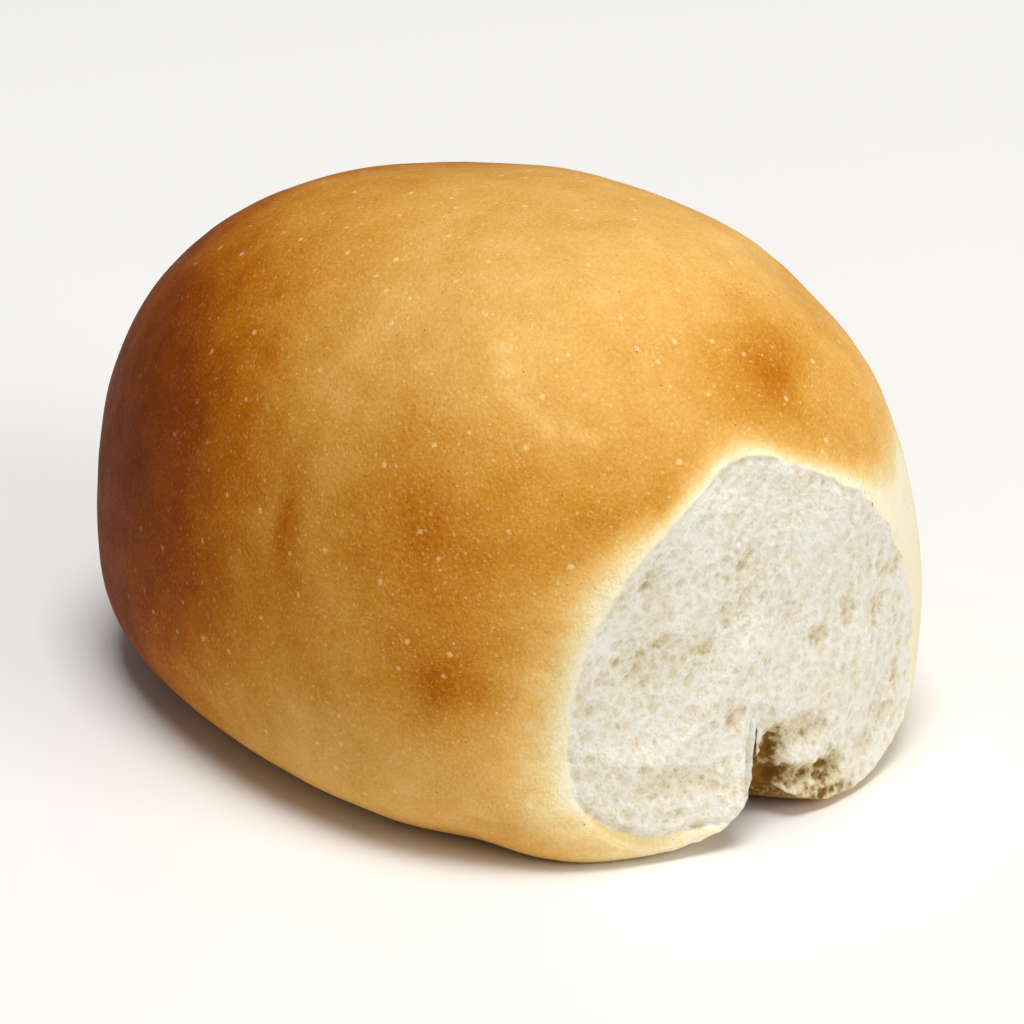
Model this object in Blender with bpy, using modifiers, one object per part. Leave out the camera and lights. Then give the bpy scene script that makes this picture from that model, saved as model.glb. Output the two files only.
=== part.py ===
"""A soft white bread roll with one torn end, as it comes off a tray that was baked as one batch.

The dough was rolled up and laid seam down. At one end it has grown together with the next piece
and was pulled off it: there is no crust there, the white crumb shows, and the seam of the dough
is a notch between two lobes. Everything else is thin golden crust.

Metres, +Z up. The roll lies along X, its torn end at +X, on a flat base at z = 0.
"""

import math

import bmesh
import bpy
from mathutils import Vector, geometry, noise

MM = 0.001

# Driving sizes of the loaf
WIDTH = 85 * MM
HEIGHT = 71 * MM
TEAR_X = 29 * MM  # from the fattest section to the tear
FAR_REACH = 74 * MM  # from the fattest section to the crusted end
LOST_END = 35.6 * MM  # where the torn end would have closed on its own
BELLY_Z = 18.4 * MM  # the height of the widest line
ROUND_UNDER = 1.5 * MM  # how far the round base would reach below the tray
SETTLE = 1.0 * MM  # how much the soft base has flattened on it

# How the loaf closes towards its ends, and how square its sections are: 2 is an ellipse
TORN_END_POWERS = (3.0, 1.6)
FAR_END_POWERS = (2.7, 2.8)
BASE_POWER = 0.35
TOP_SQUARENESS = 2.75
BASE_SQUARENESS = 4.0

# The torn end: it narrows at the top to a blunt arch that leans to the near side
ARCH_PINCH = 0.25
ARCH_LEAN = -5 * MM
FOOT_LEAN = 3 * MM
FACE_HALF_WIDTH = 26 * MM
FACE_RISE = 32 * MM  # from the widest line to the top of the arch

# How the torn face stands off a flat cut: it leans, is turned, bows, twists and bulges
TEAR_TILT = -0.047
TEAR_YAW = 0.08
SADDLE = -3.3 * MM
TWIST = 1.3 * MM
FACE_BULGE = 2 * MM

# The notch that the seam leaves in the base, at the tear. The lobe beside it at -Y stands proud
SEAM_ANGLE = math.radians(-108)
SEAM_HEIGHT = 15 * MM
SEAM_SLIT = 1.0 * MM
SEAM_RUN = 34 * MM
SEAM_STEP = 2 * MM
STEP_REACH = 7 * MM
STEP_TOP = 13 * MM
LOBE_ROUNDING = 7.5 * MM
LOBE_REACH = 16 * MM

# The cage
SEGMENTS = 28
FACE_RINGS = 6
CRUST_RINGS = 7
SUBDIVISIONS = 2
SEAM_CROWDING = 0.26  # spacing of the segments at the torn seam, against an even spacing
RIM_CREASE = 0.8
NOTCH_FADE = 2  # how soon the notch fades from the rings of the torn face

# Where the crust reaches on over the torn crumb (+) or stops short of it (-): the angle round the
# loaf, how wide the reach is as an angle, and its length
TONGUES = (
    (math.radians(62), math.radians(24), 1.0 * MM),
    (math.radians(97), math.radians(9), -1.4 * MM),
    (math.radians(120), math.radians(16), 0.9 * MM),
)

# Swellings (+) and dents (-) of the crust: a point nearby, the radius and the height
SWELLINGS = (
    (Vector((29, -26, 4)) * MM, 11 * MM, 1.8 * MM),  # heel of the near lobe
    (Vector((26, 22, 52)) * MM, 10 * MM, 1.0 * MM),  # shoulder above the tear
    (Vector((10, 14, 66)) * MM, 9 * MM, -0.5 * MM),
    (Vector((18, -4, 62)) * MM, 9 * MM, -0.7 * MM),  # dimple over the arch
    (Vector((-24, -10, 70)) * MM, 16 * MM, 0.5 * MM),
    (Vector((-48, -24, 34)) * MM, 14 * MM, -0.6 * MM),
    (Vector((-14, 38, 30)) * MM, 16 * MM, -0.6 * MM),
    (Vector((11, 21.5, 58)) * MM, 6.5 * MM, -1.8 * MM),  # dent behind the shoulder
    (Vector((-35, 8, 65)) * MM, 12 * MM, -1.4 * MM),
    (Vector((13, -33, 3)) * MM, 7 * MM, -1.0 * MM),  # foot between the belly and the heel
)
CRUST_WAVE = 0.35 * MM
CRUST_WAVELENGTH = 22 * MM

FACE_MIDDLE = (0.0, 31 * MM)  # (y, z) of the middle of the torn face
CALM_RADIUS = 9 * MM  # the crags fade out this near to it, where the mesh lines meet

# Bulges (+) and hollows (-) of the torn crumb: (y, z), the radius and the height
CRUMB_FORMS = (
    ((-19 * MM, 8.5 * MM), 9 * MM, 1.5 * MM),  # near lobe
    ((13 * MM, 13 * MM), 8 * MM, 1.0 * MM),  # far lobe
    ((2.5 * MM, 8 * MM), 4.5 * MM, -2.6 * MM),  # pocket beside the seam
    ((10 * MM, 5 * MM), 3.5 * MM, -1.4 * MM),
    ((-23 * MM, 24 * MM), 9 * MM, -1.2 * MM),  # bowl above the near lobe
    ((7 * MM, 36 * MM), 8 * MM, 0.7 * MM),
)
# The crest of drawn-out crumb, from the near lobe up to the middle: (y, z) in millimetres
RIDGE = ((-29, 17), (-20, 13.5), (-13, 17), (-6.5, 23), (-3, 33))
RIDGE_WIDTH = 2.6 * MM
RIDGE_HEIGHT = 1.6 * MM
CRUMB_WAVE = 0.6 * MM
CRUMB_WAVELENGTH = 7 * MM
CELL_DEPTH = 0.8 * MM
CELL_WIDTH = 4.4 * MM
CELL_MOUTH = 0.55  # the radius of a cell's cup against CELL_WIDTH
CELL_STRETCH = 1.6  # cells are drawn out upwards, the way the crumb was pulled

CRUST_COLOUR = (0.55, 0.25, 0.06, 1)
CRUMB_COLOUR = (0.78, 0.73, 0.6, 1)


def clear_scene():
    for thing in list(bpy.data.objects):
        bpy.data.objects.remove(thing)


def bread_material(name, colour, roughness):
    material = bpy.data.materials.new(name)
    material.use_nodes = True
    shader = material.node_tree.nodes["Principled BSDF"]
    shader.inputs["Base Color"].default_value = colour
    shader.inputs["Roughness"].default_value = roughness
    shader.inputs["Metallic"].default_value = 0
    return material


def closing(x):
    """The size of the section at x against the fattest one, from 1 down to 0 at the ends."""
    reach, (inner, outer) = (LOST_END, TORN_END_POWERS) if x > 0 else (FAR_REACH, FAR_END_POWERS)
    return max(0.0, 1 - abs(x / reach) ** inner) ** (1 / outer)


def section_point(x, angle):
    """(y, z) where a ray at this angle from the loaf's belly line leaves the section at x."""
    size = closing(x)
    half_width = size * WIDTH / 2
    upwards = math.sin(angle) >= 0
    rise = size * (HEIGHT - BELLY_Z) if upwards else size**BASE_POWER * (BELLY_Z + ROUND_UNDER)
    power = TOP_SQUARENESS if upwards else BASE_SQUARENESS
    if half_width < 0.01 * MM:
        return 0.0, BELLY_Z
    reach = abs(math.cos(angle) / half_width) ** power + abs(math.sin(angle) / rise) ** power
    radius = reach ** (-1 / power)
    return radius * math.cos(angle), BELLY_Z + radius * math.sin(angle)


def near_tear(share):
    """How much of the torn end's own shape is left at this share of the way to the far end."""
    return (1 - share) ** 2


def leaning_y(y, angle, near):
    """y after the arch is pinched in at the top, and the top and the foot are moved sideways."""
    top, foot = max(0.0, math.sin(angle)), max(0.0, -math.sin(angle))
    return y * (1 - ARCH_PINCH * near * top**1.5) + near * (ARCH_LEAN * top + FOOT_LEAN * foot)


def seam_y(x, near):
    return leaning_y(section_point(x, SEAM_ANGLE)[0], SEAM_ANGLE, near)


def seam_lift(x, off_seam, angle):
    """How far the base is lifted by the seam's slit and by the rounding of the two lobes."""
    run = min(1.0, max(0.0, (x - TEAR_X + SEAM_RUN) / SEAM_RUN)) ** 1.5
    slit = SEAM_HEIGHT * math.exp(-((off_seam / SEAM_SLIT) ** 2))
    rounding = LOBE_ROUNDING * max(0.0, 1 - abs(off_seam) / LOBE_REACH) ** 2
    return run * (slit + rounding) * max(0.0, -math.sin(angle)) ** 2


def seam_step(y, z):
    """How far the face stands back beside the seam: less than 0 in the near lobe."""
    off = y - seam_y(TEAR_X, 1)
    side = max(-1.0, min(1.0, off / SEAM_SLIT))
    return SEAM_STEP * side * math.exp(-((off / STEP_REACH) ** 2) - (z / STEP_TOP) ** 4)


def tear_offset(y, z):
    """How far the torn face stands off the plane x = TEAR_X at (y, z)."""
    across = y / FACE_HALF_WIDTH
    up = (z - BELLY_Z) / (FACE_RISE if z > BELLY_Z else BELLY_Z)
    outside = max(1.0, math.hypot(across, up))
    across, up = across / outside, up / outside
    bow = SADDLE * (across**2 - up**2) + TWIST * up * (3 * across**2 - up**2)
    bulge = FACE_BULGE * (1 - across**2 - up**2)
    return TEAR_TILT * (BELLY_Z - z) + TEAR_YAW * y + bow + bulge - seam_step(y, z)


def tongue(angle):
    """How much further the crust reaches over the torn crumb at this angle."""
    return sum(
        reach * math.exp(-((math.remainder(angle - at, 2 * math.pi) / width) ** 2))
        for at, width, reach in TONGUES
    )


def crust_point(share, angle):
    """The cage's point on the crust, where share runs from 0 at the tear to 1 at the far end."""
    middle, half = (TEAR_X - FAR_REACH) / 2, (TEAR_X + FAR_REACH) / 2
    near = near_tear(share)
    x = middle + half * math.cos(math.pi * share) + near * tongue(angle)
    y, z = section_point(x, angle)
    y = leaning_y(y, angle, near)
    z = max(0.0, z + seam_lift(x, y - seam_y(x, near), angle))
    return Vector((x + near * tear_offset(y, z), y, z))


def crumb_point(share, angle):
    """The cage's point on the torn crumb, where share runs from 1 at the rim to 0 at its middle."""
    rim = crust_point(0, angle)
    lift = seam_lift(TEAR_X, rim.y - seam_y(TEAR_X, 1), angle)
    y, z = Vector(FACE_MIDDLE).lerp(Vector((rim.y, rim.z - lift)), share)
    z += share**NOTCH_FADE * lift
    return Vector((TEAR_X + share**2 * tongue(angle) + tear_offset(y, z), y, z))


def segment_angle(turn, share):
    """The angle of a cage segment. Towards the tear, segments crowd together at the seam."""
    from_seam = math.remainder(turn, 2 * math.pi) / math.pi
    spacing = 1 + (1 - share) * (SEAM_CROWDING - 1)
    crowded = from_seam * (spacing + (1 - spacing) * abs(from_seam))
    return SEAM_ANGLE + crowded * math.pi


def cage_point(ring, turn):
    if ring < FACE_RINGS:
        return crumb_point(ring / FACE_RINGS, segment_angle(turn, 0))
    share = (ring - FACE_RINGS) / CRUST_RINGS
    return crust_point(share, segment_angle(turn, share))


def shape_cage(mesh_edit):
    """Turns a unit sphere into the loaf: its pole at +Z becomes the middle of the torn face."""
    rings = FACE_RINGS + CRUST_RINGS
    placed = {}
    for vertex in mesh_edit.verts:
        ring = round(math.acos(max(-1.0, min(1.0, vertex.co.z))) / math.pi * rings)
        placed[vertex] = ring
        vertex.co = cage_point(ring, math.atan2(vertex.co.y, vertex.co.x))
    crease = mesh_edit.edges.layers.float.new("crease_edge")
    for edge in mesh_edit.edges:
        if all(placed[vertex] == FACE_RINGS for vertex in edge.verts):
            edge[crease] = RIM_CREASE
    for face in mesh_edit.faces:
        face.material_index = int(max(placed[vertex] for vertex in face.verts) <= FACE_RINGS)


def loaf_cage():
    mesh = bpy.data.meshes.new("bread_roll")
    mesh_edit = bmesh.new()
    bmesh.ops.create_uvsphere(
        mesh_edit, u_segments=SEGMENTS, v_segments=FACE_RINGS + CRUST_RINGS, radius=1
    )
    shape_cage(mesh_edit)
    mesh_edit.to_mesh(mesh)
    mesh_edit.free()
    return mesh


def subdivided(cage):
    """The cage's mesh after Subdivision Surface."""
    helper = bpy.data.objects.new("cage", cage)
    bpy.context.collection.objects.link(helper)
    smoothing = helper.modifiers.new("smoothing", "SUBSURF")
    smoothing.levels = smoothing.render_levels = SUBDIVISIONS
    graph = bpy.context.evaluated_depsgraph_get()
    mesh = bpy.data.meshes.new_from_object(helper.evaluated_get(graph))
    bpy.data.objects.remove(helper)
    return mesh


def crust_relief(point):
    height = CRUST_WAVE * noise.noise(point / CRUST_WAVELENGTH)
    for centre, radius, swell in SWELLINGS:
        height += swell * math.exp(-(((point - centre).length / radius) ** 2))
    return height


def distance_to_stretch(spot, start, end):
    nearest, share = geometry.intersect_point_line(spot, start, end)
    if 0 < share < 1:
        return (spot - nearest).length
    return min((spot - start).length, (spot - end).length)


def ridge_height(y, z):
    spot = Vector((y, z, 0))
    corners = [Vector((*corner, 0)) * MM for corner in RIDGE]
    off = min(distance_to_stretch(spot, *ends) for ends in zip(corners, corners[1:]))
    return RIDGE_HEIGHT * math.exp(-((off / RIDGE_WIDTH) ** 2))


def cell_height(y, z):
    """Open cells of the crumb, as shallow cups."""
    spot = Vector((y, z / CELL_STRETCH, 0)) / CELL_WIDTH
    nearest = noise.voronoi(spot)[0][0]
    return -CELL_DEPTH * max(0.0, 1 - (nearest / CELL_MOUTH) ** 2)


def crumb_relief(point):
    off_middle = (point.yz - Vector(FACE_MIDDLE)).length
    calm = min(1.0, off_middle / CALM_RADIUS)
    height = cell_height(point.y, point.z) + CRUMB_WAVE * noise.noise(point / CRUMB_WAVELENGTH)
    height = calm * height + ridge_height(point.y, point.z)
    for (y, z), radius, swell in CRUMB_FORMS:
        off = math.hypot(point.y - y, point.z - z)
        height += swell * math.exp(-((off / radius) ** 2))
    return height


def raise_relief(mesh):
    """Crags in the torn crumb, along X, and the crust's soft swellings along its normals."""
    crumb_only = [True] * len(mesh.vertices)
    for face in mesh.polygons:
        if face.material_index == 0:
            for index in face.vertices:
                crumb_only[index] = False
    for vertex, is_crumb in zip(mesh.vertices, crumb_only):
        if is_crumb:
            vertex.co.x += crumb_relief(vertex.co)
        else:
            vertex.co += vertex.normal * crust_relief(vertex.co)
        vertex.co.z = max(vertex.co.z - SETTLE, 0.0)


def centre_on_base(mesh):
    """Puts the origin under the middle of the loaf's box, at its base."""
    for axis in (0, 1):
        places = [vertex.co[axis] for vertex in mesh.vertices]
        middle = (min(places) + max(places)) / 2
        for vertex in mesh.vertices:
            vertex.co[axis] -= middle


def make_roll(collection):
    mesh = subdivided(loaf_cage())
    mesh.name = "bread_roll"
    raise_relief(mesh)
    centre_on_base(mesh)
    mesh.materials.clear()
    mesh.materials.append(bread_material("golden_crust", CRUST_COLOUR, 0.5))
    mesh.materials.append(bread_material("white_crumb", CRUMB_COLOUR, 0.9))
    mesh.shade_smooth()
    roll = bpy.data.objects.new("bread_roll", mesh)
    collection.objects.link(roll)


clear_scene()
loaf = bpy.data.collections.new("bread roll")
bpy.context.scene.collection.children.link(loaf)
make_roll(loaf)
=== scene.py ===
import math

import bpy
import numpy as np
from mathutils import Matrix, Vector, geometry, kdtree, noise


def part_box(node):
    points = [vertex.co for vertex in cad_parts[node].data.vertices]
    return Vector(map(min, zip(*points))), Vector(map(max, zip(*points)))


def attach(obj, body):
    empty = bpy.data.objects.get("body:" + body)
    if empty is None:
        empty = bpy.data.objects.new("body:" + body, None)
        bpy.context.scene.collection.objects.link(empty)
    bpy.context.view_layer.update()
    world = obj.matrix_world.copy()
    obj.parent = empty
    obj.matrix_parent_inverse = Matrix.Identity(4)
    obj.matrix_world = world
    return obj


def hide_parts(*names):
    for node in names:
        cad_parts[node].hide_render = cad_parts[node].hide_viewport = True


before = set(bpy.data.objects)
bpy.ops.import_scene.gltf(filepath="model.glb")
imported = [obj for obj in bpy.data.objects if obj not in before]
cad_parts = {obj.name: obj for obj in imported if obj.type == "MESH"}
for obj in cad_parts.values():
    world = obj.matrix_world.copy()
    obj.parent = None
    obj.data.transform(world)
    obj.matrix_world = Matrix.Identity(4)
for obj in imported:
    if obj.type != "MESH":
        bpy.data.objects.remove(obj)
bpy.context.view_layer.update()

# The loaf. A soft white roll: dough rolled up, laid seam down and baked on a tray so that one end
# grew together with the next piece. It is one closed skin, shaped from a sphere: the first rings
# are the torn crumb, the rest is crust. The sizes are those of the CAD solid that it stands for.
MM = 0.001
# Driving sizes of the loaf
WIDTH = 85 * MM
HEIGHT = 71 * MM
TEAR_X = 29 * MM  # from the fattest section to the tear
FAR_REACH = 74 * MM  # from the fattest section to the crusted end
LOST_END = 35.6 * MM  # where the torn end would have closed on its own
BELLY_Z = 18.4 * MM  # the height of the widest line
ROUND_UNDER = 1.5 * MM  # how far the round base would reach below the tray
SETTLE = 1.0 * MM  # how much the soft base has flattened on it
# How the loaf closes towards its ends, and how square its sections are: 2 is an ellipse
TORN_END_POWERS = (3.0, 1.6)
FAR_END_POWERS = (2.7, 2.8)
BASE_POWER = 0.35
TOP_SQUARENESS = 2.75
BASE_SQUARENESS = 4.0
# The torn end: it narrows at the top to a blunt arch that leans to the near side
ARCH_PINCH = 0.25
ARCH_LEAN = -5 * MM
FOOT_LEAN = 3 * MM
FACE_HALF_WIDTH = 26 * MM
FACE_RISE = 32 * MM  # from the widest line to the top of the arch
# How the torn face stands off a flat cut: it leans, is turned, bows, twists and bulges
TEAR_TILT = -0.047
TEAR_YAW = 0.08
SADDLE = -3.3 * MM
TWIST = 1.3 * MM
FACE_BULGE = 2 * MM
# The notch that the seam leaves in the base, at the tear. The lobe beside it at -Y stands proud
SEAM_ANGLE = math.radians(-108)
SEAM_HEIGHT = 15 * MM
SEAM_SLIT = 1.0 * MM
SEAM_RUN = 34 * MM
SEAM_STEP = 2 * MM
STEP_REACH = 7 * MM
STEP_TOP = 13 * MM
LOBE_ROUNDING = 7.5 * MM
LOBE_REACH = 16 * MM
# The cage
SEGMENTS = 28
FACE_RINGS = 6
CRUST_RINGS = 7
SEAM_CROWDING = 0.26  # spacing of the segments at the torn seam, against an even spacing
RIM_CREASE = 0.8
NOTCH_FADE = 2  # how soon the notch fades from the rings of the torn face
FACE_MIDDLE = (0.0, 31 * MM)  # (y, z) of the middle of the torn face
# Where the crust reaches on over the torn crumb (+) or stops short of it (-): the angle round the
# loaf, how wide the reach is as an angle, and its length
TONGUES = (
    (math.radians(62), math.radians(24), 1.0 * MM),
    (math.radians(97), math.radians(9), -1.4 * MM),
    (math.radians(120), math.radians(16), 0.9 * MM),
)


def closing(x):
    """The size of the loaf's section at x against the fattest one."""
    reach, (inner, outer) = (LOST_END, TORN_END_POWERS) if x > 0 else (FAR_REACH, FAR_END_POWERS)
    return max(0.0, 1 - abs(x / reach) ** inner) ** (1 / outer)


def section_point(x, angle):
    """(y, z) where a ray at this angle from the loaf's widest line leaves the section at x."""
    size = closing(x)
    half_width = size * WIDTH / 2
    upwards = math.sin(angle) >= 0
    rise = size * (HEIGHT - BELLY_Z) if upwards else size**BASE_POWER * (BELLY_Z + ROUND_UNDER)
    power = TOP_SQUARENESS if upwards else BASE_SQUARENESS
    if half_width < 0.01 * MM:
        return 0.0, BELLY_Z
    reach = abs(math.cos(angle) / half_width) ** power + abs(math.sin(angle) / rise) ** power
    radius = reach ** (-1 / power)
    return radius * math.cos(angle), BELLY_Z + radius * math.sin(angle)


def leaning_y(y, angle, near):
    """y after the arch of the tear is pinched in, and its top and foot are moved sideways."""
    top, foot = max(0.0, math.sin(angle)), max(0.0, -math.sin(angle))
    return y * (1 - ARCH_PINCH * near * top**1.5) + near * (ARCH_LEAN * top + FOOT_LEAN * foot)


def seam_y(x, near):
    """Where the seam lies across the loaf at x."""
    return leaning_y(section_point(x, SEAM_ANGLE)[0], SEAM_ANGLE, near)


def seam_lift(x, off_seam, angle):
    """How far the base is lifted by the seam's slit and by the rounding of the two lobes."""
    run = min(1.0, max(0.0, (x - TEAR_X + SEAM_RUN) / SEAM_RUN)) ** 1.5
    slit = SEAM_HEIGHT * math.exp(-((off_seam / SEAM_SLIT) ** 2))
    rounding = LOBE_ROUNDING * max(0.0, 1 - abs(off_seam) / LOBE_REACH) ** 2
    return run * (slit + rounding) * max(0.0, -math.sin(angle)) ** 2


def seam_step(y, z):
    """How far the face stands back beside the seam: less than 0 in the near lobe."""
    off = y - seam_y(TEAR_X, 1)
    side = max(-1.0, min(1.0, off / SEAM_SLIT))
    return SEAM_STEP * side * math.exp(-((off / STEP_REACH) ** 2) - (z / STEP_TOP) ** 4)


def tear_offset(y, z):
    """How far the torn face stands off the plane x = TEAR_X at (y, z)."""
    across = y / FACE_HALF_WIDTH
    up = (z - BELLY_Z) / (FACE_RISE if z > BELLY_Z else BELLY_Z)
    outside = max(1.0, math.hypot(across, up))
    across, up = across / outside, up / outside
    bow = SADDLE * (across**2 - up**2) + TWIST * up * (3 * across**2 - up**2)
    bulge = FACE_BULGE * (1 - across**2 - up**2)
    return TEAR_TILT * (BELLY_Z - z) + TEAR_YAW * y + bow + bulge - seam_step(y, z)


def tongue(angle):
    """How much further the crust reaches over the torn crumb at this angle."""
    return sum(reach * math.exp(-((math.remainder(angle - at, 2 * math.pi) / width) ** 2))
               for at, width, reach in TONGUES)


def crust_point(share, angle):
    """A point on the crust, where share runs from 0 at the tear to 1 at the far end."""
    middle, half = (TEAR_X - FAR_REACH) / 2, (TEAR_X + FAR_REACH) / 2
    near = (1 - share) ** 2
    x = middle + half * math.cos(math.pi * share) + near * tongue(angle)
    y, z = section_point(x, angle)
    y = leaning_y(y, angle, near)
    z = max(0.0, z + seam_lift(x, y - seam_y(x, near), angle))
    return Vector((x + near * tear_offset(y, z), y, z))


def crumb_point(share, angle):
    """A point on the torn crumb, where share runs from 1 at the rim to 0 at its middle."""
    rim = crust_point(0, angle)
    lift = seam_lift(TEAR_X, rim.y - seam_y(TEAR_X, 1), angle)
    y, z = Vector(FACE_MIDDLE).lerp(Vector((rim.y, rim.z - lift)), share)
    z += share**NOTCH_FADE * lift
    return Vector((TEAR_X + share**2 * tongue(angle) + tear_offset(y, z), y, z))


def segment_angle(turn, share):
    """The angle of a line along the loaf. Towards the tear the lines crowd together at the seam."""
    from_seam = math.remainder(turn, 2 * math.pi) / math.pi
    spacing = 1 + (1 - share) * (SEAM_CROWDING - 1)
    crowded = from_seam * (spacing + (1 - spacing) * abs(from_seam))
    return SEAM_ANGLE + crowded * math.pi


def loaf_point(ring, turn):
    """The place of a point of the sphere: its ring counted from the crumb's middle, and its turn."""
    if ring < FACE_RINGS:
        return crumb_point(ring / FACE_RINGS, segment_angle(turn, 0))
    share = (ring - FACE_RINGS) / CRUST_RINGS
    return crust_point(share, segment_angle(turn, share))


bpy.ops.object.select_all(action="DESELECT")
bpy.ops.mesh.primitive_uv_sphere_add(segments=SEGMENTS, ring_count=FACE_RINGS + CRUST_RINGS, radius=1)
loaf = bpy.context.object
loaf.name = loaf.data.name = "bread_roll_loaf"
rings = [
    round(math.acos(max(-1.0, min(1.0, v.co.z))) / math.pi * (FACE_RINGS + CRUST_RINGS))
    for v in loaf.data.vertices
]
from_tear = loaf.data.attributes.new("from_tear", "FLOAT", "POINT")
for vertex, ring in zip(loaf.data.vertices, rings):
    vertex.co = loaf_point(ring, math.atan2(vertex.co.y, vertex.co.x))
    from_tear.data[vertex.index].value = ring - FACE_RINGS
crease = loaf.data.attributes.new("crease_edge", "FLOAT", "EDGE")
for edge in loaf.data.edges:
    if all(rings[index] == FACE_RINGS for index in edge.vertices):
        crease.data[edge.index].value = RIM_CREASE
bpy.ops.object.modifier_add(type="SUBSURF")
loaf.modifiers[-1].levels = loaf.modifiers[-1].render_levels = 3
bpy.ops.object.modifier_apply(modifier=loaf.modifiers[-1].name)

# The torn crumb and a band of crust round it are cut finer, down to 0.2 to 0.4 mm, for the
# bubbles and strands of the crumb and for the thin uneven edge of the crust.
def loaf_field(name):
    """The values of one of the loaf's own fields, one a vertex."""
    values = np.zeros(len(loaf.data.vertices))
    loaf.data.attributes[name].data.foreach_get("value", values)
    return values


def cut_finer(stretches, cuts):
    """Cuts the faces that lie on these stretches, which are counted in rings from the rim."""
    ring_of = loaf_field("from_tear")
    bpy.ops.object.mode_set(mode="EDIT")
    bpy.ops.mesh.select_mode(type="FACE")
    bpy.ops.mesh.select_all(action="DESELECT")
    bpy.ops.object.mode_set(mode="OBJECT")
    for face in loaf.data.polygons:
        middle = sum(ring_of[index] for index in face.vertices) / len(face.vertices)
        face.select = any(start < middle < end for start, end in stretches)
    bpy.ops.object.mode_set(mode="EDIT")
    bpy.ops.mesh.subdivide(number_cuts=cuts)
    bpy.ops.object.mode_set(mode="OBJECT")


cut_finer([(-3, 0.25)], 2)
cut_finer([(-FACE_RINGS, -3.125), (0.375, 1.3)], 1)

# The crust's own form: soft swellings and dents that the dough keeps from its rise and from the
# hands that shaped it, and furrows where the skin was drawn into the tear and folded under the
# near lobe. Swellings have a place, a radius and a height; furrows two ends, a half width and a
# depth. All are in millimetres.
SWELLINGS = (
    ((29, -26, 4), 11, 1.8),
    ((26, 22, 52), 10, 1.0),
    ((10, 14, 66), 9, -0.5),
    ((18, -4, 62), 9, -0.7),
    ((-24, -10, 70), 16, 0.5),
    ((-48, -24, 34), 14, -0.6),
    ((-14, 38, 30), 16, -0.6),
    ((11, 21.5, 58), 6.5, -1.8),
    ((-35, 8, 65), 12, -1.4),
    ((13, -33, 3), 7, -1.0),
)
CRUST_WAVES = ((22, 0.35), (7, 0.12), (3, 0.035))
FURROWS = (
    ((21, -27, 45), (27.8, -22.2, 44.2), 0.45, 0.3),
    ((20.5, -26, 38), (26, -24.5, 37.5), 0.4, 0.2),
    ((19.5, -31.5, 29), (24, -28.6, 28.6), 0.4, 0.26),
    ((18, -32.5, 17), (22.5, -28.5, 16.8), 0.4, 0.3),
    ((14, -35, 8), (21, -29.5, 7.6), 0.8, 0.45),
    ((21, -29.5, 7.6), (27, -20.5, 7.8), 0.7, 0.6),
)


def distance_to_stretch(spot, start, end):
    """The distance to the straight stretch between two places."""
    nearest, share = geometry.intersect_point_line(spot, start, end)
    if 0 < share < 1:
        return (spot - nearest).length
    return min((spot - start).length, (spot - end).length)


def crust_height(spot):
    """The crust's height above its smooth form at this spot."""
    height = sum(depth * noise.noise(spot / length) for length, depth in CRUST_WAVES)
    for centre, radius, swell in SWELLINGS:
        height += swell * math.exp(-(((spot - Vector(centre)).length / radius) ** 2))
    for start, end, half_width, depth in FURROWS:
        off = distance_to_stretch(spot, Vector(start), Vector(end))
        height -= depth * math.exp(-((off / half_width) ** 2))
    return height


# The torn crumb: soft, open and white, pulled apart by hand. Its large forms are the two lobes and
# the step where the near side was drawn out along a crest. On them lie bubbles 0.6 to 3 mm
# across, strands drawn upwards on the far side, and the brown pocket beside the seam. Places are
# (y, z) in millimetres; a form has a radius and a height, and a pit two radii, a depth and how
# brown it is. That brown is painted shade in the pit.
CREST = ((-28, 18.5), (-22.7, 16.4), (-16.5, 14.8), (-11.5, 18.2), (-8.6, 22), (-6.6, 25.2),
         (-5.3, 28.6), (-4, 34), (-2.2, 40), (-1, 46))
CREST_STEP, CREST_REACH = 0.8, 7
CREST_EDGE = 0.25
CRUMB_FORMS = (
    ((-17, 9), 8, 0.9),
    ((13, 15), 8, 0.9),
    ((-18, 25.5), 8.5, -1.0),
    ((7, 38), 8, 0.5),
    ((-14, 37), 6, -0.4),
)
PITS = (
    ((-18, 38.4), (1.7, 1.9), 0.35, 0.24),
    ((-22, 36.7), (1.1, 1.6), 0.25, 0.2),
    ((6.4, 25), (2.0, 1.5), 0.35, 0.32),
    ((11.6, 26.6), (1.2, 2.2), 0.3, 0.27),
    ((17, 25.3), (1.1, 1.9), 0.3, 0.24),
    ((18.5, 29.5), (1.7, 1.1), 0.3, 0.24),
    ((-14, 11), (5.5, 1.9), 0.4, 0.24),
    ((-5.5, 9), (2.2, 1.4), 0.25, 0.14),
    ((-17, 27), (4, 3), 0.2, 0.16),
    ((16.5, 7), (2.2, 1.8), 0.3, 0.2),
)
# The brown pocket, where the rolled dough never closed, on the far side of the seam. Its brown is
# partly crust inside it and partly painted shade, darkest next to the slit.
POCKET = (
    ((0.8, 8.0), (2.2, 5.5), 2.4, 0.95),
    ((4.2, 6.5), (2.6, 1.8), 1.5, 0.66),
    ((9.3, 6.3), (2.7, 1.7), 1.3, 0.7),
    ((4.6, 12.6), (3.8, 2.3), 0.9, 0.36),
    ((7.5, 2.9), (6.5, 2.0), 0.3, 0.6),
)
# Bubbles: their spacing, the share of them that is open, and their depth.
BUBBLES = ((3.1, 0.45, 0.3), (1.8, 0.65, 0.24), (1.0, 0.75, 0.15), (0.6, 0.8, 0.08))
BUBBLE_WALL = 0.55
BUBBLE_BEIGE = (0.07, 0.7)  # beige of every open bubble, and painted shade that grows with each millimetre of its depth
# STRAND_BEIGE is painted shade in the grooves between the strands.
STRAND_WIDTH, STRAND_LENGTH, STRAND_HEIGHT, STRAND_BEIGE = 0.9, 6, 0.2, 0.12
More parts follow.
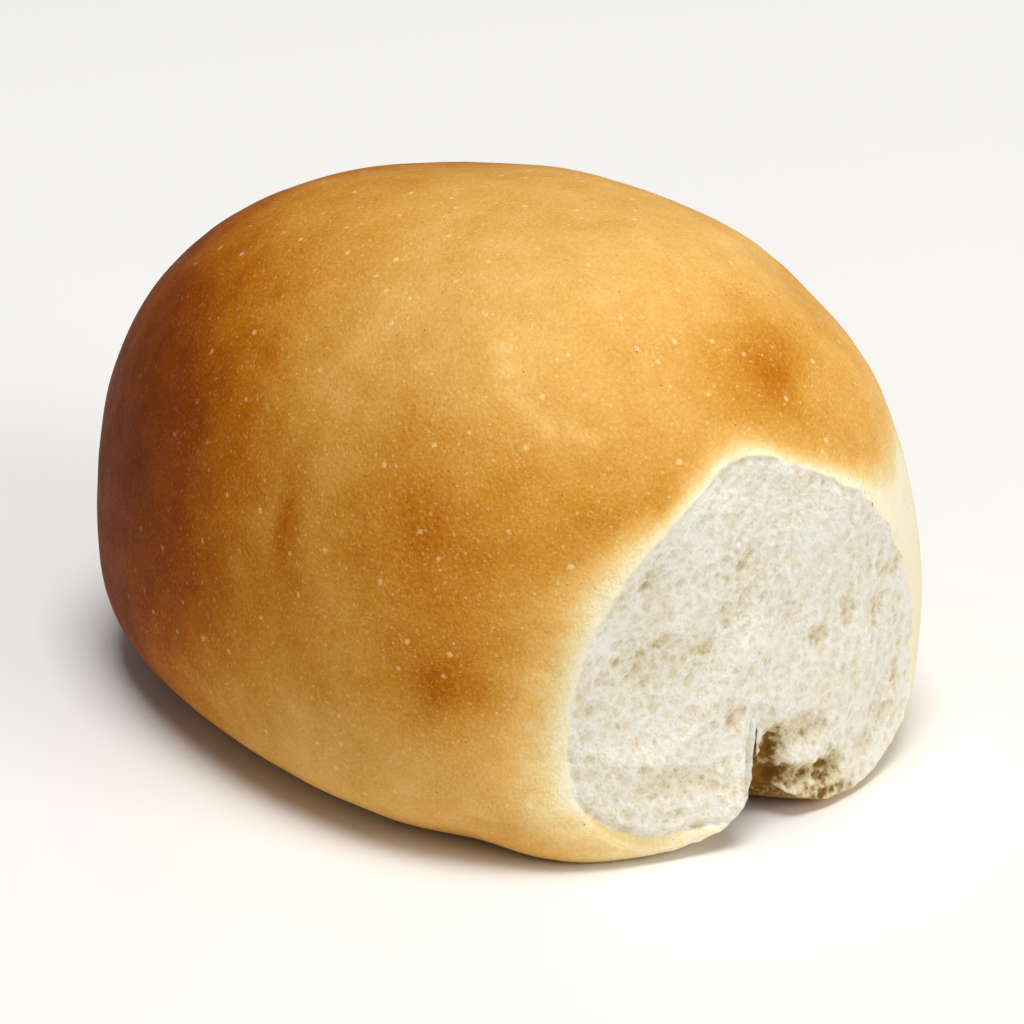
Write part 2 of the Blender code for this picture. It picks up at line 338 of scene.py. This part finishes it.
# Waves of the crumb, and of what shifts its bubbles and pits across and up: their height, their
# width across and up, and a layer of the noise.
CRUMB_WAVES = ((0.3, 6, 7, 0.4), (0.09, 0.8, 0.8, 3.3), (0.07, 0.4, 0.4, 6))
SHIFT_ACROSS = ((0.5, 1.6, 1.6, 4.1), (0.2, 0.6, 0.6, 2))
SHIFT_UP = ((0.5, 1.6, 1.6, 9.7), (0.2, 0.6, 0.6, 8))
# What wanders: the pocket's edges, the strip under the near lobe and the torn edge itself, each by
# waves of a height and a length.
POCKET_WANDER = ((0.8, 2), (0.45, 0.8))
STRIP_WANDER = ((0.5, 2.5), (0.3, 0.9))
EDGE_WANDER = ((1, 2.2), (0.6, 0.8))
POCKET_RUN = 8  # how far the pocket runs on into the notch, past the rim
# How dark the far wall of the seam's notch is painted: painted shade in the slit.
NOTCH_SHADE = 0.9


def ramp(value, start, end):
    """0 before start, 1 after end, and a smooth rise between them."""
    share = max(0.0, min(1.0, (value - start) / (end - start)))
    return share * share * (3 - 2 * share)


def crumb_waves(y, z, waves):
    """The height of these waves at a place of the crumb."""
    return sum(height * noise.noise(Vector((y / across, z / up, layer)))
               for height, across, up, layer in waves)


def wander(spot, waves, layer=0):
    """How far a thing wanders at this spot. Each layer gives another course."""
    shifted = spot + Vector((layer, 0, 0))
    return sum(height * noise.noise(shifted / length) for height, length in waves)


def crest_side(y, z):
    """The distance to the crest: more than 0 below it and to its right."""
    spot = Vector((y, z, 0))
    best, side = 1e9, 1
    for start, end in zip(CREST, CREST[1:]):
        off = distance_to_stretch(spot, Vector((*start, 0)), Vector((*end, 0)))
        if off < best:
            best = off
            across = (end[0] - start[0]) * (z - start[1]) - (end[1] - start[1]) * (y - start[0])
            side = -1 if across > 0 else 1
    return side * best


def bubble(y, z, layer, spacing, share, stretch):
    """How far inside an open bubble this place is, from 0 on a wall to 1."""
    distances, places = noise.voronoi(Vector((y / spacing, z / (spacing * stretch), layer)))
    openness = (noise.cell(places[0] * 7.3) + 1) / 2
    if openness > share:
        return 0.0
    return ramp(distances[1] - distances[0], 0.02, BUBBLE_WALL) * (1 - 0.6 * openness / share)


def pitted(pits, y, z):
    """The depth of these pits at a place and how brown it is there: painted shade in the pits, and
    in the pocket partly its own brown.
    """
    depth = brown = 0.0
    for (pit_y, pit_z), (width, tall), deep, browner in pits:
        off = ((y - pit_y) / width) ** 2 + ((z - pit_z) / tall) ** 2
        depth += deep * math.exp(-(off**2))
        brown += browner * math.exp(-(off**2))
    return depth, brown


def crumb_height(y, z, inward):
    """The crumb's height above its smooth form and how beige it is there, 0 to 1: partly the crumb's
    own beige, partly painted shade in its bubbles, pits and the grooves between strands. inward is
    the distance to the rim."""
    side = crest_side(y, z)
    along = ramp(y, -27, -18) * ramp(z, 33, 25)
    falling = math.exp(-((max(0.0, side) / CREST_REACH) ** 2))
    height = CREST_STEP * along * ramp(side, -1.6, 0.8) * falling - 0.2
    ragged = CREST_EDGE * (1 + noise.noise(Vector((y / 2.5, z / 2.5, 7))))
    height += along * ragged * math.exp(-((side - 0.6) ** 2))
    for (form_y, form_z), radius, swell in CRUMB_FORMS:
        height += swell * math.exp(-((y - form_y) ** 2 + (z - form_z) ** 2) / radius**2)
    drawn = ramp(y, -7, 6) * ramp(z, 12, 24)
    y_here = y + crumb_waves(y, z, SHIFT_ACROSS)
    z_here = z + crumb_waves(y, z, SHIFT_UP)
    # Pits are painted beige: painted shade in them.
    depth, beige = pitted(PITS, y_here, z_here)
    height -= depth
    calm = 1 - 0.4 * drawn
    patchy = calm * (0.75 + 0.6 * noise.noise(Vector((y / 5, z / 6, 0.4))))
    for layer, (spacing, share, depth) in enumerate(BUBBLES):
        inside = patchy * bubble(y_here, z_here, 3.7 * layer, spacing, share, 1.15 + 0.6 * drawn)
        height -= depth * inside
        # Open bubbles are painted beiger, the more the deeper they are: painted shade.
        beige += (BUBBLE_BEIGE[0] + BUBBLE_BEIGE[1] * depth) * inside
    strand = 1 - 2 * abs(noise.noise(Vector((y_here / STRAND_WIDTH, z_here / STRAND_LENGTH, 1.7))))
    height += STRAND_HEIGHT * drawn * strand
    # Between the raised strands the crumb is painted beige: painted shade.
    beige += STRAND_BEIGE * drawn * (0.6 - strand)
    height += crumb_waves(y, z, CRUMB_WAVES)
    return height * ramp(inward, -0.4, 1.4), max(0.0, min(1.0, beige))


def beside_seam(spot):
    """How far this place is from the seam: less than 0 in the near lobe."""
    return spot.y - seam_y(TEAR_X, 1) / MM


def pocket(spot):
    """The depth of the brown pocket at this place and how brown it is there; the brown is partly
    the crust inside it and partly painted shade.
    """
    y_here = spot.y + wander(spot, POCKET_WANDER, 3)
    z_here = spot.z + wander(spot, POCKET_WANDER, 11)
    depth, brown = pitted(POCKET, y_here, z_here)
    inside = ramp(beside_seam(spot), -0.5, 0.4)
    return inside * depth, inside * brown * (1 + 0.5 * noise.noise(spot / 0.8))


# The notch is torn open up to this height. How far the crumb turns into it on each side, and the
# strip of crust under the near lobe.
NOTCH_TOP = 19
NEAR_TURN, FAR_TURN = 2.5, 9
STRIP_WIDTH = 1.5


def crumb_past_rim(spot):
    """How far past the rim the loaf is still crumb: a little way into the seam's notch on its near
    side, and deep into it on the far side, where it is painted dark brown as shade in the slit. Less
    than 0 under the near lobe, where the crust was drawn up over the crumb."""
    beside = beside_seam(spot)
    if spot.z > NOTCH_TOP:
        return 0.0
    if beside < -3.2:
        strip = ramp(spot.z, 10, 4) * ramp(spot.y, -30, -25) * ramp(beside, -4, -9)
        return -strip * (STRIP_WIDTH + wander(spot, STRIP_WANDER))
    if beside < 0.2:
        return NEAR_TURN * ramp(beside, -3.2, -2.6)
    return FAR_TURN * ramp(spot.y, 9, 6) * ramp(spot.z, 2.4, 3.2)


def rim_distances():
    """Each vertex's distance to the rim of the tear: less than 0 on the crumb."""
    rings_off = loaf_field("from_tear")
    rim = np.flatnonzero(np.abs(rings_off) < 1e-5)
    tree = kdtree.KDTree(len(rim))
    for index in rim:
        tree.insert(loaf.data.vertices[index].co, int(index))
    tree.balance()
    off = np.array([tree.find(vertex.co)[2] for vertex in loaf.data.vertices]) / MM
    return np.where(rings_off < 0, -off, off)


rim_mm = rim_distances()
# hollow holds how beige or brown the crumb is painted: partly its own beige, partly painted shade.
hollow = np.zeros(len(rim_mm))
past_crumb = np.zeros(len(rim_mm))
normals = [vertex.normal.copy() for vertex in loaf.data.vertices]
for vertex, normal, off_rim in zip(loaf.data.vertices, normals, rim_mm):
    spot = vertex.co / MM
    past = crumb_past_rim(spot)
    past_crumb[vertex.index] = off_rim - past
    if off_rim < -1e-4:
        # Just inside the rim the crumb is shut in a little, most at the strip under the near lobe.
        inward = -off_rim + min(0.0, past)
        height, hollow[vertex.index] = crumb_height(spot.y, spot.z, inward)
        shut_in = (0.3 + 0.2 * ramp(-past, 0, 1)) * ramp(spot.y, 14, 4) * (0.6 + noise.noise(spot / 3))
        height -= max(0.0, shut_in) * math.exp(-(((inward - 0.5) / 0.5) ** 2))
        vertex.co.x += height * MM
    else:
        vertex.co += normal * crust_height(spot) * MM
    if off_rim < FAR_TURN + 1 and spot.z < NOTCH_TOP - 1:
        depth, brown = pocket(spot)
        vertex.co.x -= depth * ramp(off_rim, POCKET_RUN, 1) * MM
        # The far wall of the notch is painted dark brown: painted shade in the slit.
        if off_rim > 0 and beside_seam(spot) > 0:
            brown = max(brown, NOTCH_SHADE)
        hollow[vertex.index] = max(0.0, min(1.0, hollow[vertex.index] + brown))
    # The torn edge itself wanders a little, and more where it is ragged, on the far side.
    ragged = (0.3 + 0.5 * ramp(spot.y, 0, 16)) * math.exp(-((off_rim / 0.9) ** 2))
    for axis, layer in ((1, 5), (2, 21)):
        vertex.co[axis] += ragged * wander(spot, EDGE_WANDER, layer) * MM * ramp(spot.z, 0.5, 4)
    vertex.co.z = max(vertex.co.z - SETTLE, 0.0)

# The loaf is set down where the CAD solid lies, by the far end and the sides of its crust.
corners = np.array([vertex.co for vertex in loaf.data.vertices])
solid_low, solid_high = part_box("bread_roll")
set_down = Vector((solid_low.x - corners[:, 0].min(), (solid_low.y + solid_high.y) / 2
                   - (corners[:, 1].min() + corners[:, 1].max()) / 2, 0))
for vertex in loaf.data.vertices:
    vertex.co += set_down
corners += np.array(set_down)
loaf.data.update()
bpy.ops.object.shade_smooth()

# How far the crust is baked, 0 pale to 1 dark, with painted shade mixed in: pale at the tear, on
# the far shoulder where it lay against the next piece, and at the foot; golden on top; browner
# towards the outer end, partly from baking and partly as painted shade; dark in the seam's notch
# as painted shade.
# A browner or paler spot has a place, three radii and how much it adds.
SPOTS = (
    ((10.5, -40, 37), (1.9, 8, 6), 0.17),
    ((34.5, -37, 26), (4.5, 8, 4), 0.12),
    ((30, -38, 42), (9, 8, 9), 0.06),
    ((46.5, 2, 57.5), (6, 9, 5), 0.2),
    # A painted shadow high on the near side.
    ((-5, -25, 62), (14, 12, 12), 0.1),
    ((48, 30, 40), (12, 12, 16), -0.32),
    ((40, 32, 24), (14, 10, 24), -0.24),
    # Painted shade in the seam's notch.
    ((48, 1, 5), (9, 3, 10), 0.75),
    # Under the far lobe: partly its browned underside, partly painted shade.
    ((44, 8, 1), (9, 9, 2.5), 0.5),
    ((38, -28, 1), (12, 14, 5), 0.08),
    ((45, -22, 4), (8, 10, 4), 0.1),
)
# A pale scuff along these places, its half width and how much paler it is.
SCUFF = ((27.6, -22.2, 63.1), (31, -24.4, 60.4), (34.4, -25.6, 57.5), (38.5, -24.7, 55),
         (42.7, -21, 54.1))
SCUFF_WIDTH, SCUFF_PALE = 0.9, 0.1
GOLDEN, DEEP_BROWN = 0.52, 0.84


def browning_and_shade(spot, off_rim):
    """How far the crust is baked at this place, this far from the rim of the tear, with painted shade
    added at the closed end, in the seam's notch and under the far lobe.
    """
    # The pale band along the tear is wider on the far side and narrow over the top.
    pale_width = 5.2 + 3.5 * ramp(spot.y, 12, 24) - 3.4 * ramp(spot.z, 38, 48)
    pale_width *= 1 + 0.35 * noise.noise(spot / 6) + 0.2 * noise.noise(spot / 1.8)
    brown = GOLDEN - 0.17 * ramp(spot.z, 42, 66) - 0.23 * ramp(spot.z, 30, 2)
    # Browner towards the closed end, but never burnt: partly a deeper bake, partly painted shade.
    brown += 0.58 * ramp(-spot.x, -18, 42) * (1 - 0.5 * ramp(spot.z, 45, 66))
    brown -= 0.7 * max(0.0, brown - DEEP_BROWN)
    brown += 0.06 * noise.noise(spot / 14) + 0.035 * noise.noise(spot / 5)
    brown *= 1 - math.exp(-((max(0.0, off_rim) / pale_width) ** 1.5))
    for centre, radii, more in SPOTS:
        off = sum(((a - b) / r) ** 2 for a, b, r in zip(spot, centre, radii))
        brown += more * math.exp(-off)
    ends = zip(SCUFF, SCUFF[1:])
    scuff = min(distance_to_stretch(spot, Vector(start), Vector(end)) for start, end in ends)
    return brown - SCUFF_PALE * math.exp(-((scuff / SCUFF_WIDTH) ** 2))


baked_and_shaded = np.array([browning_and_shade(Vector(place) / MM, off) for place, off in zip(corners, rim_mm)])
for name, values in (("hollow", hollow), ("baked_and_shaded", baked_and_shaded)):
    loaf.data.attributes.new(name, "FLOAT", "POINT").data.foreach_set("value", values)
loaf.data.attributes.remove(loaf.data.attributes["from_tear"])
loaf.data.attributes.remove(loaf.data.attributes["crease_edge"])


def linear(colour):
    """An sRGB hex colour as linear red, green, blue and alpha."""
    parts = [int(colour[start : start + 2], 16) / 255 for start in (1, 3, 5)]
    return (*(c / 12.92 if c <= 0.04045 else ((c + 0.055) / 1.055) ** 2.4 for c in parts), 1)


def add_node(tree, kind, settings, inputs):
    """Adds a node. settings are its own choices; inputs are numbers, colours or other sockets."""
    made = tree.nodes.new(kind)
    for name, value in settings.items():
        setattr(made, name, value)
    for socket, source in inputs.items():
        if isinstance(source, bpy.types.NodeSocket):
            tree.links.new(source, made.inputs[socket])
        else:
            made.inputs[socket].default_value = source
    return made


# Bread crust: dry, browned dough skin, smooth to the touch with a satin shine. Its colour goes
# from cream through gold to brown as it bakes, clouded over 3 to 8 mm, with a grain of 0.3 mm,
# pale blisters 0.3 to 1 mm across and a few dark pores. Its darkest brown is partly painted shade.
CLOUDINESS, GRAININESS = 0.22, 0.26
# The darkest tones are partly painted shade, at the closed end and in the seam's notch.
BAKED_AND_SHADED_TONES = ((0.0, "#F6EBCC"), (0.12, "#EED69A"), (0.3, "#E6B464"), (0.5, "#CC8E34"), (0.64, "#B4680E"),
          (0.8, "#8C4002"), (1.0, "#5C2200"))
# Blisters: spacing, where their edge starts and ends in shares of it, and how pale they are.
BLISTERS = ((0.6, 0.34, 0.14, 0.15), (1.3, 0.2, 0.08, 0.3), (3.6, 0.13, 0.06, 0.5))
BLISTER_COLOUR, PORE_COLOUR = "#F7DCA2", "#7A4410"
crust = bpy.data.materials.new("golden_bread_crust")
crust.use_nodes = True
tree = crust.node_tree
shader = tree.nodes["Principled BSDF"]
place = add_node(tree, "ShaderNodeTexCoord", {}, {}).outputs["Object"]
in_mm = add_node(tree, "ShaderNodeMapping", {},
                 {"Vector": place, "Scale": (1000, 1000, 1000)}).outputs[0]
baked_and_shaded_here = add_node(tree, "ShaderNodeAttribute", {"attribute_name": "baked_and_shaded"}, {}).outputs["Fac"]
clouds = add_node(tree, "ShaderNodeTexNoise", {},
                  {"Vector": in_mm, "Scale": 0.2, "Detail": 5, "Roughness": 0.65})
grain = add_node(tree, "ShaderNodeTexNoise", {},
                 {"Vector": in_mm, "Scale": 2.2, "Detail": 3, "Roughness": 0.7})
clouded = add_node(tree, "ShaderNodeMath", {"operation": "MULTIPLY_ADD"},
                   {0: clouds.outputs["Fac"], 1: CLOUDINESS, 2: baked_and_shaded_here})
grained = add_node(tree, "ShaderNodeMath", {"operation": "MULTIPLY_ADD"},
                   {0: grain.outputs["Fac"], 1: GRAININESS, 2: clouded.outputs[0]})
centred = add_node(tree, "ShaderNodeMath", {"operation": "SUBTRACT"},
                   {0: grained.outputs[0], 1: (CLOUDINESS + GRAININESS) / 2})
shade = add_node(tree, "ShaderNodeValToRGB", {}, {"Fac": centred.outputs[0]})
for number, (at, colour) in enumerate(BAKED_AND_SHADED_TONES):
    stop = shade.color_ramp.elements[number] if number < 2 else shade.color_ramp.elements.new(at)
    stop.position, stop.color = at, linear(colour)
wobble = add_node(tree, "ShaderNodeTexNoise", {}, {"Vector": in_mm, "Scale": 2.5})
uneven = add_node(tree, "ShaderNodeVectorMath", {"operation": "MULTIPLY_ADD"},
                  {0: wobble.outputs["Color"], 1: (0.5, 0.5, 0.5), 2: in_mm})
on_pale = add_node(tree, "ShaderNodeMapRange", {},
                   {"Value": centred.outputs[0], "From Min": 0.55, "From Max": 0.9,
                    "To Min": 1.0, "To Max": 0.15})
tint, raised = shade.outputs["Color"], None
for spacing, edge, top, pale in BLISTERS:
    blister = add_node(tree, "ShaderNodeTexVoronoi", {},
                       {"Vector": uneven.outputs[0], "Scale": 1 / spacing})
    spot = add_node(tree, "ShaderNodeMapRange", {"interpolation_type": "SMOOTHSTEP"},
                    {"Value": blister.outputs["Distance"], "From Min": edge, "From Max": top,
                     "To Max": pale})
    shown = add_node(tree, "ShaderNodeMath", {"operation": "MULTIPLY"},
                     {0: spot.outputs[0], 1: on_pale.outputs[0]})
    blended = add_node(tree, "ShaderNodeMix", {"data_type": "RGBA"},
                       {0: shown.outputs[0], 6: tint, 7: linear(BLISTER_COLOUR)})
    raising = add_node(tree, "ShaderNodeMath", {"operation": "MULTIPLY_ADD"},
                       {0: spot.outputs[0], 1: 0.5, 2: raised if raised else wobble.outputs["Fac"]})
    tint, raised = blended.outputs[2], raising.outputs[0]
pore = add_node(tree, "ShaderNodeTexVoronoi", {}, {"Vector": in_mm, "Scale": 0.4})
pore_here = add_node(tree, "ShaderNodeMapRange", {"interpolation_type": "SMOOTHSTEP"},
                     {"Value": pore.outputs["Distance"], "From Min": 0.07, "From Max": 0.03, "To Max": 0.6})
pored = add_node(tree, "ShaderNodeMix", {"data_type": "RGBA"},
                 {0: pore_here.outputs[0], 6: tint, 7: linear(PORE_COLOUR)})
tree.links.new(pored.outputs[2], shader.inputs["Base Color"])
dullness = add_node(tree, "ShaderNodeMapRange", {},
                    {"Value": clouds.outputs["Fac"], "To Min": 0.4, "To Max": 0.62})
tree.links.new(dullness.outputs[0], shader.inputs["Roughness"])
skin = add_node(tree, "ShaderNodeTexNoise", {},
                {"Vector": in_mm, "Scale": 1.1, "Detail": 5, "Roughness": 0.65})
relief = add_node(tree, "ShaderNodeMath", {"operation": "ADD"}, {0: raised, 1: skin.outputs["Fac"]})
bump = add_node(tree, "ShaderNodeBump", {},
                {"Strength": 0.45, "Distance": 0.3 * MM, "Height": relief.outputs[0]})
tree.links.new(bump.outputs[0], shader.inputs["Normal"])
shader.inputs["Specular IOR Level"].default_value = 0.02

# Bread crumb: a moist open foam of baked starch, off-white and matte, a little translucent, so
# that light goes about 1 mm in. Its white walls stand 0.5 to 1.5 mm apart round beige cells, open
# bubbles look beiger still, and the pocket beside the seam is brown. The beige of open bubbles
# and the brown of the pocket and the notch are partly painted shade.
WEB_BEIGE, WHITEST = 0.34, 0.19
# Cells: how many there are in a millimetre, and how much beiger they are than their white walls.
CELLS = ((0.55, 0.24), (1.5, 0.15))
# From white crumb through beige to brown; the beige and the brown are partly painted shade in bubbles,
# pits, the pocket and the seam's notch.
HOLLOWS = ((0.0, "#F8F4EA"), (0.35, "#EADFC6"), (0.62, "#D5C397"), (1.0, "#84591C"))
crumb = bpy.data.materials.new("white_bread_crumb")
crumb.use_nodes = True
tree = crumb.node_tree
shader = tree.nodes["Principled BSDF"]
place = add_node(tree, "ShaderNodeTexCoord", {}, {}).outputs["Object"]
in_mm = add_node(tree, "ShaderNodeMapping", {},
                 {"Vector": place, "Scale": (1000, 1000, 1000)}).outputs[0]
# The hollow field carries painted shade of the bubbles, pits, pocket and notch.
hollow_here = add_node(tree, "ShaderNodeAttribute", {"attribute_name": "hollow"}, {}).outputs["Fac"]
web = add_node(tree, "ShaderNodeTexNoise", {},
               {"Vector": in_mm, "Scale": 2.4, "Detail": 4, "Roughness": 0.7})
webbed = add_node(tree, "ShaderNodeMath", {"operation": "MULTIPLY_ADD"},
                  {0: web.outputs["Fac"], 1: WEB_BEIGE, 2: hollow_here})
uneven = add_node(tree, "ShaderNodeVectorMath", {"operation": "MULTIPLY_ADD"},
                  {0: web.outputs["Color"], 1: (0.9, 0.9, 0.9), 2: in_mm})
celled, foam = webbed.outputs[0], web.outputs["Fac"]
for scale, beige in CELLS:
    cell = add_node(tree, "ShaderNodeTexVoronoi", {"feature": "DISTANCE_TO_EDGE"},
                    {"Vector": uneven.outputs[0], "Scale": scale})
    inside = add_node(tree, "ShaderNodeMapRange", {"interpolation_type": "SMOOTHSTEP"},
                      {"Value": cell.outputs["Distance"], "From Min": 0.02, "From Max": 0.34,
                       "To Max": beige})
    celled = add_node(tree, "ShaderNodeMath", {"operation": "ADD"},
                      {0: celled, 1: inside.outputs[0]}).outputs[0]
    foam = add_node(tree, "ShaderNodeMath", {"operation": "SUBTRACT"},
                    {0: foam, 1: cell.outputs["Distance"]}).outputs[0]
hollows = add_node(tree, "ShaderNodeMath", {"operation": "SUBTRACT"}, {0: celled, 1: WHITEST})
tone = add_node(tree, "ShaderNodeValToRGB", {}, {"Fac": hollows.outputs[0]})
for number, (at, colour) in enumerate(HOLLOWS):
    stop = tone.color_ramp.elements[number] if number < 2 else tone.color_ramp.elements.new(at)
    stop.position, stop.color = at, linear(colour)
tree.links.new(tone.outputs["Color"], shader.inputs["Base Color"])
bump = add_node(tree, "ShaderNodeBump", {}, {"Strength": 0.7, "Distance": 0.3 * MM, "Height": foam})
tree.links.new(bump.outputs[0], shader.inputs["Normal"])
shader.inputs["Roughness"].default_value = 0.95
shader.inputs["Specular IOR Level"].default_value = 0.2
shader.inputs["Subsurface Weight"].default_value = 0.25
shader.inputs["Subsurface Radius"].default_value = (1.2, 0.9, 0.6)
shader.inputs["Subsurface Scale"].default_value = 1 * MM

for name in ("golden_bread_crust", "white_bread_crumb"):
    loaf.data.materials.append(bpy.data.materials[name])
for face in loaf.data.polygons:
    face.material_index = int(sum(past_crumb[index] for index in face.vertices) < 0)
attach(loaf, "root")
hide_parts("bread_roll")

# A plain pale floor, soft studio light from above and from the right, and the camera at the
# photograph's viewing angle.
bpy.ops.mesh.primitive_plane_add(size=4)
floor = bpy.context.object
floor.name = "floor"
paper = bpy.data.materials.new("pale_floor")
paper.use_nodes = True
paper.node_tree.nodes["Principled BSDF"].inputs["Base Color"].default_value = linear("#EFEEEA")
paper.node_tree.nodes["Principled BSDF"].inputs["Roughness"].default_value = 0.9
floor.data.materials.append(paper)

AZIMUTH, ELEVATION = math.radians(48.7), math.radians(23)
DISTANCE = 661 * MM
# The camera looks this far past the loaf's middle, so that the loaf is in the middle of the frame.
PAST_RIGHT, PAST_DOWN = 3.1 * MM, 10.3 * MM
back = Vector((math.sin(AZIMUTH) * math.cos(ELEVATION),
               -math.cos(AZIMUTH) * math.cos(ELEVATION), math.sin(ELEVATION)))
right = Vector((math.cos(AZIMUTH), math.sin(AZIMUTH), 0))
up = back.cross(right)
aim = Vector((0, 0, 36 * MM))
bpy.ops.object.camera_add(location=aim + DISTANCE * back)
camera = bpy.context.object
look = aim + PAST_RIGHT * right - PAST_DOWN * up - camera.location
camera.rotation_euler = look.to_track_quat("-Z", "Y").to_euler()
camera.data.lens = 190
camera.data.clip_start = 0.01
bpy.context.scene.camera = camera

LIGHTS = (
    # name, place, size in metres, power in watts
    ("overhead", (0.5, -0.3, 2.5), 1.2, 57),
    ("right", (2.2, 0.44, 1.2), 1.2, 25),
)
for name, spot, size, power in LIGHTS:
    bpy.ops.object.light_add(type="AREA", location=spot)
    lamp = bpy.context.object
    lamp.name = name
    lamp.data.size = size
    lamp.data.energy = power
    lamp.rotation_euler = (Vector((0, 0, 0.03)) - lamp.location).to_track_quat("-Z", "Y").to_euler()
world = bpy.data.worlds.new("studio")
world.use_nodes = True
world.node_tree.nodes["Background"].inputs["Color"].default_value = linear("#FAFAF8")
world.node_tree.nodes["Background"].inputs["Strength"].default_value = 0.17
bpy.context.scene.world = world
bpy.context.scene.view_settings.view_transform = "Standard"
